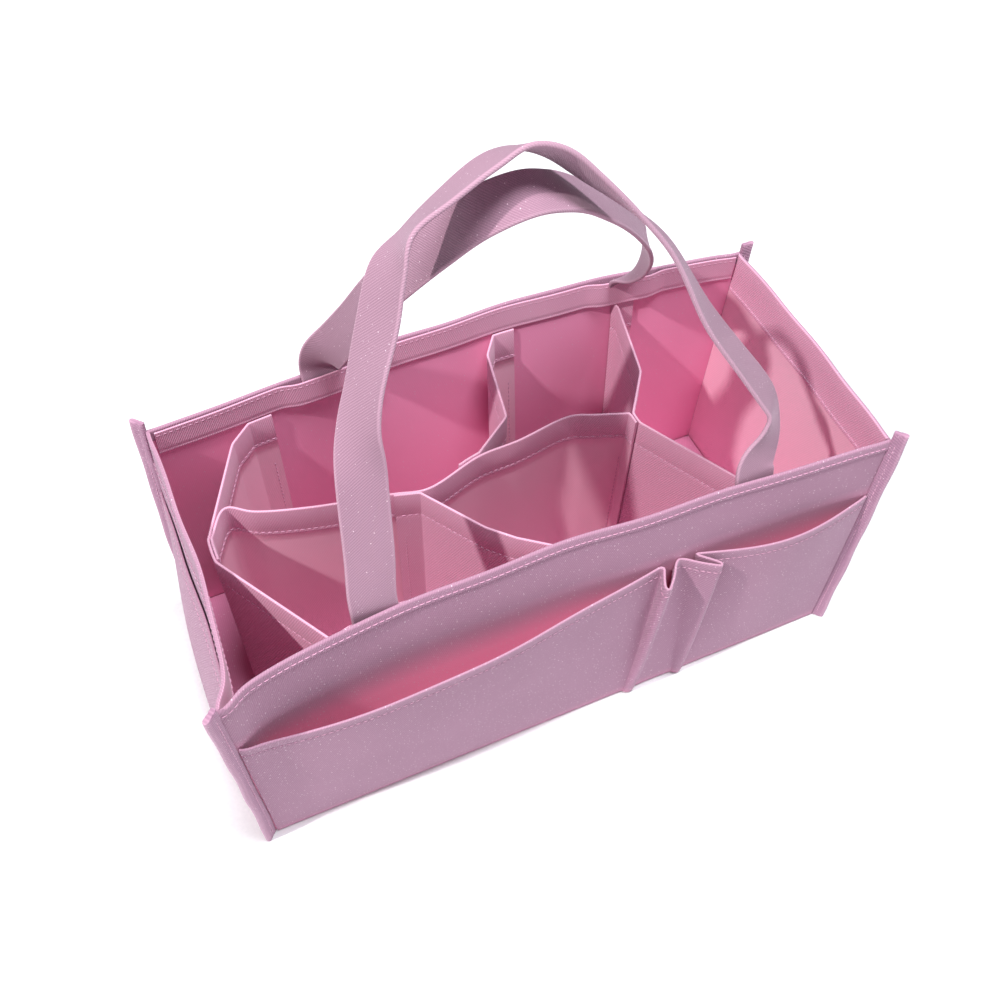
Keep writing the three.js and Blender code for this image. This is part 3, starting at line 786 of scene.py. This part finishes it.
LEFT_SEAM, RIGHT_SEAM = LEFT_KNEE + [FOLD, 0], RIGHT_KNEE - [FOLD, 0]
LONG_WAVE = ((0.05, 28), (0.105, 21), (0.22, 13.5), (0.4, 6), (0.475, 2.5), (0.62, 11.4),
             (0.72, 12.8), (0.865, 17), (0.92, 13))  # share of the way, and y in mm
reach = RIGHT_SEAM[0, 0] - LEFT_SEAM[0, 0]
wave_points = [LEFT_SEAM[0], *([LEFT_SEAM[0, 0] + reach * t, y] for t, y in LONG_WAVE),
               RIGHT_SEAM[0]]
long_line = evenly(smooth_curve(wave_points, 400), 91)


def long_divider_path(h):
    plan = np.vstack([LEFT_SEAM[1], long_line, RIGHT_SEAM[1]])
    return raised(soften(plan, 1), h, 0.8)


def middle_divider_path(side, wall_x, kinks, foot_x, clear):
    def beside(x):
        y = np.interp(x, long_line[:, 0], long_line[:, 1])
        slope = (np.interp(x + 2, long_line[:, 0], long_line[:, 1]) - y) / 2
        return [x, y + side * clear * math.hypot(1, slope)]

    def path_at(h):
        wall = wall_tab(side, wall_x, h)
        foot = [beside(x) for x in (foot_x, foot_x - TAB / 2, foot_x - TAB)]
        plan = np.vstack([wall, kinked(wall[-1], foot[0], kinks), foot])
        return raised(soften(plan), h, 0.5)
    return path_at


print("long divider runs", round(run_of(long_line)[-1]), "mm from knee to knee")

# %% Dividers
# For each divider: its line, the side its flap is sewn to, the sides of the rows on its two tabs
divider_lines = {
    "left_cross": (cross_divider_path(-112, [(0.16, -5)], LEFT_KNEE, -110), 1, (1, 1)),
    "right_cross": (cross_divider_path(95, [(0.06, 2.5), (0.68, 8.5)], RIGHT_KNEE, 102), 1, (1, 1)),
    "long": (long_divider_path, -1, (-1, -1)),
    "middle_back": (middle_divider_path(1, 24, [(0.17, -2), (0.77, 13)], -14.5, FOLD), 1, (1, 1)),
    "middle_front": (middle_divider_path(-1, 8, [(0.17, -4), (0.33, -7.5), (0.51, -8)], -50,
                                         FOLD + DIVIDER_HEM["flap"]), -1, (-1, 1)),
}
for name, (line, flap_side, _) in divider_lines.items():
    loop = hem_loop(FLOOR, DIVIDER_TOP, CLOTH, DIVIDER_HEM, flap_side, back=1)
    standing_cloth(f"{name}_divider_cloth", line, loop, DIVIDER_HEM, "divider_cloth",
                   [f"{name}_divider"], INNER)

# %% [markdown]
# ## Carrying straps
#
# Each strap is a folded band of twill, 21 mm wide. Its ends lie flat on the inside of the wall,
# and between them it rises in an arch that leans in over the box and twists on its way, as a
# stiff band does when nobody holds it. In the part it is three solids, because only the loop
# swings. Here it is one band again, which runs unbroken across the hinge line.

# %% Strap line
STRAP_WIDTH, STRAP_THICK = 21.0, 2.4
SEWN = 15.0  # length sewn to the wall
HINGE_Z = HEIGHT + 1.3
# The arch is given in shares of half the span and of the rise, with the band's turn in degrees
STRAPS = {"front": {
    "side": -1, "centre": -0.5, "half_span": 93.3, "rise": 165, "lean": 28,
    "arch": [(-1, 0), (-1, .03), (-.965, .14), (-.91, .355), (-.87, .475), (-.8, .575),
             (-.69, .705), (-.6, .815), (-.49, .883), (-.33, .93), (-.12, .983), (.03, 1),
             (.17, .972), (.32, .893), (.48, .8), (.64, .69), (.8, .49), (.95, .35), (1.07, .24),
             (1.12, .18), (1.09, .095), (1, .02), (1, 0)],
    "turn": [0, 0, -8, -18, -52, -63, -58, -66, -98, -91, -87, -98, -100, -94, -81, -67, -54, -50,
             -46, -48, -29, -4, 0]},
          "back": {
    "side": 1, "centre": 15, "half_span": 86, "rise": 150, "lean": 28.4,
    "arch": [(-1, 0), (-1, .03), (-.995, .1), (-.94, .19), (-.86, .335), (-.775, .51), (-.7, .62),
             (-.51, .815), (-.35, .94), (-.15, .985), (.02, .95), (.13, .905), (.27, .825),
             (.43, .725), (.61, .595), (.8, .435), (.93, .295), (.985, .18), (1, .09), (1, .03),
             (1, 0)],
    "turn": [0, -10, -50, -75, -85, -88, -88, -90, -92, -100, -104, -105, -104, -102, -98, -92, -80,
             -68, -42, -8, 0]}}


def strap_feet(strap):
    """Where along the wall a strap's two ends are sewn."""
    return [strap["centre"] + end * strap["half_span"] for end in (-1, 1)]


def strap_y(side, x, z):
    return long_wall_y(side, x, z) - side * (WALL / 2 + 0.3 + STRAP_THICK / 2)


def strap_frame(strap):
    """Centre line of a strap with, at each point, the direction of its width."""
    side, tilt, feet = strap["side"], math.radians(strap["lean"]), strap_feet(strap)
    up = np.array([0, -side * math.sin(tilt), math.cos(tilt)])
    normal = np.array([0, math.cos(tilt), side * math.sin(tilt)])
    root = np.array([0, np.mean([strap_y(side, x, HEIGHT) for x in feet]), HINGE_Z])
    arch = [root + [strap["centre"] + x * strap["half_span"], 0, 0] + h * strap["rise"] * up
            for x, h in strap["arch"]]
    loop = smooth_curve(arch, 241)
    angle = np.radians(smooth_curve(np.array(strap["turn"], float)[:, None], 241))
    flat = unit(np.cross(normal, unit(np.gradient(loop, axis=0))))
    wide = flat * np.cos(angle) + normal * np.sin(angle)
    heights = np.linspace(HEIGHT - SEWN, HEIGHT - 2, 8)
    sewn = [np.array([[x, strap_y(side, x, z), z] for z in heights]) for x in feet]
    free = slice(4, -4)  # leaves room for the bend between the wall and the loop
    across = [np.tile([way, 0, 0], (len(heights), 1)) for way in (1.0, -1.0)]
    return (np.vstack([sewn[0], loop[free], sewn[1][::-1]]),
            np.vstack([across[0], wide[free], across[1]]))


for name, strap in STRAPS.items():
    print(name, "strap is", round(run_of(strap_frame(strap)[0])[-1]), "mm long")

# %% Straps
def strap_section():
    """The band's section: thick folded edges, a thinner middle."""
    half = STRAP_WIDTH / 2
    top = [(w, 0.9 + 0.2 * (abs(w) / half) ** 4) for w in np.linspace(-half + 1.3, half - 1.3, 13)]
    edge = [(half - 1.1 + 1.1 * math.sin(a), 1.15 * math.cos(a)) for a in np.linspace(0.3, 2.84, 7)]
    other = [(-w, -t) for w, t in top]
    return np.array(top + edge + other + [(-w, -t) for w, t in edge])


def carry_strap(name, strap):
    line, wide = strap_frame(strap)
    run = run_of(line)
    at = np.linspace(0, run[-1], 221)
    line, wide = sampled(line, run, at), sampled(wide, run, at)
    for _ in range(3):  # ease the kink where the band leaves the wall
        for values in (line, wide):
            values[1:-1] = (values[:-2] + 2 * values[1:-1] + values[2:]) / 4
    heading = unit(np.gradient(line, axis=0))
    wide = square_to(wide, heading)
    thick = np.cross(heading, wide)
    section = strap_section()
    rings = line[:, None] + wide[:, None] * section[:, :1] + thick[:, None] * section[:, 1:]
    wear_and_shade = np.clip(np.abs(section[:, 0]) - 9.2, 0, 1)  # along both folded edges
    return skin(name, rings, [strap_twill], wear_and_shade), run[-1]


for name, strap in STRAPS.items():
    piece, length = carry_strap(f"{name}_carry_strap", strap)
    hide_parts(f"{name}_handle_strap", f"{name}_handle_left_end", f"{name}_handle_right_end")
    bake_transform(piece)

# %% [markdown]
# ## Facings over the strap ends
#
# A strip of the paler copy of the twill, painted light, faces the inside of each long wall and
# reaches 16 mm down. At the back it starts just under the rim, at the front 6 mm lower. The strap
# ends are caught behind it, so no end of a strap shows inside the box. The strip could be laid flat
# and the straps left to poke through it, but it has to step over them, as cloth does, with a soft
# shoulder on each side.

# %% Facings
FACING_LOW, FACING_HIGH = HEIGHT - 15.6, {"front": HEIGHT - 6.0, "back": HEIGHT - 1.2}
FACING_END = 2.8  # from a corner to the end of the strip
STEP_UP, SHOULDER = 2.6, 13.0  # how far it steps over a strap, and over what length


def facing_path(strap):
    side, feet = strap["side"], strap_feet(strap)
    share = np.linspace(0, 1, 161)

    def path_at(h):
        x0, x1 = corner(-1, side, h)[0] + FACING_END, corner(1, side, h)[0] - FACING_END
        x = x0 + (x1 - x0) * share
        aside = np.min([np.abs(x - foot) for foot in feet], axis=0) - STRAP_WIDTH / 2
        step = 0.5 + 0.5 * np.cos(np.pi * np.clip((aside - 0.8) / SHOULDER, 0, 1))
        y = long_wall_y(side, x, h) - side * (WALL / 2 + 0.6 + STEP_UP * step)
        return np.stack([x, y, np.full(len(x), h)], 1)
    return path_at


facing_lines = {name: facing_path(strap) for name, strap in STRAPS.items()}
for name, away in (("front", -1), ("back", 1)):
    loop = hem_loop(FACING_LOW, FACING_HIGH[name], CLOTH, FACING_HEM, away)
    loop[:, 1] = FACING_LOW + FACING_HIGH[name] - loop[:, 1]  # its folded edge is the lower one
    standing_cloth(f"{name}_facing", facing_lines[name], loop, FACING_HEM, "outer_cloth", [], INNER)

# %% [markdown]
# ## Stitching
#
# A sewn row shows as short bars of thread that sink into the cloth at both ends. A dashed line
# painted on the cloth would vanish from the side, so each stitch is a small tapered bar. About
# eight of them go to 25 mm. They are gathered into one mesh for each group of pieces.

# %% Stitch maker
STITCH, PITCH, THREAD = 2.6, 3.1, 0.25  # length, spacing and radius in mm
# Along a stitch: share of its length, share of its radius and how far it stands above the cloth
STITCH_RINGS = ((-.5, .35, -.25), (-.3, .9, 0), (0, 1, .08), (.3, .9, 0), (.5, .35, -.25))


def stitches(points, outward):
    """Vertices and faces of the bars along one row."""
    run = run_of(points)
    at = np.arange(PITCH / 2, run[-1] - STITCH / 2, PITCH)
    centre = sampled(points, run, at)
    ahead = unit(sampled(points, run, at + 0.5) - centre)
    out = square_to(sampled(outward, run, at), ahead)
    aside = np.cross(ahead, out)
    rings = []
    for along, size, sink in STITCH_RINGS:
        for a in np.linspace(0, FULL_TURN, 6, endpoint=False):
            rings.append(centre + ahead * along * STITCH
                         + out * (THREAD * (size * math.cos(a)) + sink)
                         + aside * THREAD * size * math.sin(a))
    vertices = np.stack(rings, 1)  # stitch, 30 points, xyz
    faces = [[r * 6 + i, r * 6 + (i + 1) % 6, r * 6 + 6 + (i + 1) % 6, r * 6 + 6 + i]
             for r in range(4) for i in range(6)]
    return vertices, faces, [list(range(6))[::-1], list(range(24, 30))]


def sew(name, rows):
    """One mesh of thread from several rows, each a line of points and their outward directions."""
    vertices, faces = [], []
    for points, outward in rows:
        bars, sides, ends = stitches(points, outward)
        for bar in bars:
            base = len(vertices)
            vertices.extend((bar * MM).tolist())
            faces.extend([base + i for i in face] for face in sides + ends)
    mesh = bpy.data.meshes.new(name)
    mesh.from_pydata(vertices, [], faces)
    mesh.shade_smooth()
    mesh.materials.append(sewing_thread)
    made = placed(name, mesh)
    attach(made, "organizer")
    print(f"{name}: {len(vertices) // 30} stitches")


def row_on(path_at, h, offset, keep=slice(None)):
    """A row at height h on one face of a standing sheet."""
    middle = path_at(h)
    points = offset_path(middle, offset)
    return points[keep], (points - middle)[keep]


def upright_row(path_at, station, offset, low, high):
    """An upright row up a standing sheet, as on a sewn tab."""
    pairs = [row_on(path_at, h, offset, [station]) for h in np.linspace(low, high, 25)]
    return np.vstack([p for p, _ in pairs]), np.vstack([o for _, o in pairs])


# %% Rows on walls, pockets and dividers
def hem_rows(path_at, top, thick, fold, flap_side):
    """The row of a hem, seen on the flap and on the other face."""
    h = top - fold["stitch"]
    return [row_on(path_at, h, flap_side * (thick / 2 + fold["flap"] - 0.1)),
            row_on(path_at, h, -flap_side * (thick / 2 - 0.1))]


wall_rows = []
for name, inside in (("front", 1), ("back", -1)):
    wall_rows.append(row_on(wall_lines[name], HEIGHT - RIM["stitch"],
                            -inside * (WALL / 2 + RIM["flap"] - 0.1)))
    wall_rows.append(row_on(facing_lines[name], FACING_HIGH[name] - 2, inside * (CLOTH / 2 - 0.1)))
for name, inside in (("left_end", -1), ("right_end", 1)):
    wall_rows += hem_rows(wall_lines[name], HEIGHT, WALL, DEEP, inside)
sew("wall_stitching", wall_rows)

pocket_rows = []
for name, inside, top in (
        ("front_pocket", 1, POCKET_TOP), ("back_pocket", 1, POCKET_TOP),
        ("left_end_pocket", -1, END_POCKET_TOP), ("right_end_pocket", 1, END_POCKET_TOP)):
    pocket_rows += hem_rows(pocket_lines[name], top, CLOTH, POCKET_HEM, inside)
sew("pocket_stitching", pocket_rows)

divider_rows = []
for name, (line, flap_side, row_sides) in divider_lines.items():
    divider_rows += hem_rows(line, DIVIDER_TOP, CLOTH, DIVIDER_HEM, flap_side)
    for station, row_side in zip((4, -5), row_sides):  # the middle of each end's tab
        divider_rows.append(upright_row(line, station, row_side * (CLOTH / 2 + 0.05), 9, 104))
sew("divider_stitching", divider_rows)

# %% Rows on bindings
binding_rows = []
z = np.linspace(4, HEIGHT, 40)
for end, side in TOP_SHIFT:
    place = np.stack([*corner(end, side, z), z], 1)
    ahead = binding_direction(end, side)
    for face in (-1, 1):
        away = face * np.array([-ahead[1], ahead[0], 0.0])
        binding_rows.append((place + BINDING_ROW * ahead + 1.2 * away, np.tile(away, (40, 1))))
sew("binding_stitching", binding_rows)

# %% [markdown]
# ## Floor and light
#
# The picture shows the box on plain white, lit from the left by something small and strong. A
# large white sheet of paper is the floor. A small lamp stands high on the left and throws the
# shadows of the straps, a softbox overhead reaches down into the rooms between the dividers, and
# a pale bluish surround fills what is left.

# %% Floor and lights
white_paper = speckled("white_paper", "fbfbfc", "f6f6f8", 2.0, 0.95, 0.0)
FLOOR_RADIUS, FLOOR_Z = 3.0, -0.0004  # metres; just under the cloth
around = np.linspace(0, FULL_TURN, 64, endpoint=False)
ring = [(FLOOR_RADIUS * math.cos(a), FLOOR_RADIUS * math.sin(a), FLOOR_Z) for a in around]
floor_mesh = bpy.data.meshes.new("floor")
floor_mesh.from_pydata(ring, [], [list(range(len(ring)))])
floor_mesh.materials.append(white_paper)
floor = placed("floor", floor_mesh)

aim = Vector((0.0, 0.0, 0.08))


def softbox(name, toward, distance, size, watts, colour):
    """A round lamp that faces the box from a direction."""
    lamp = bpy.data.lights.new(name, "AREA")
    lamp.shape, lamp.size, lamp.energy, lamp.color = "DISK", size, watts, colour
    made = placed(name, lamp)
    made.location = aim + toward.normalized() * distance
    made.rotation_euler = toward.to_track_quat("Z", "Y").to_euler()
    print(name, watts, "W at", [round(c, 2) for c in made.location])


softbox("left_lamp", Vector((-0.623, -0.088, 0.777)), 2.6, 0.09, 43, (1.0, 0.975, 0.95))
softbox("overhead_softbox", Vector((0.12, -0.1, 1.0)), 2.4, 0.8, 56, (0.95, 0.975, 1.0))

world = bpy.data.worlds.new("pale_surround")
world.use_nodes = True
surround = world.node_tree.nodes["Background"].inputs
surround["Color"].default_value = (0.88, 0.95, 1.0, 1.0)
surround["Strength"].default_value = 0.26
scene.world = world
scene.view_settings.view_transform = "Standard"
print("surround is pale blue, strength", round(surround["Strength"].default_value, 2))
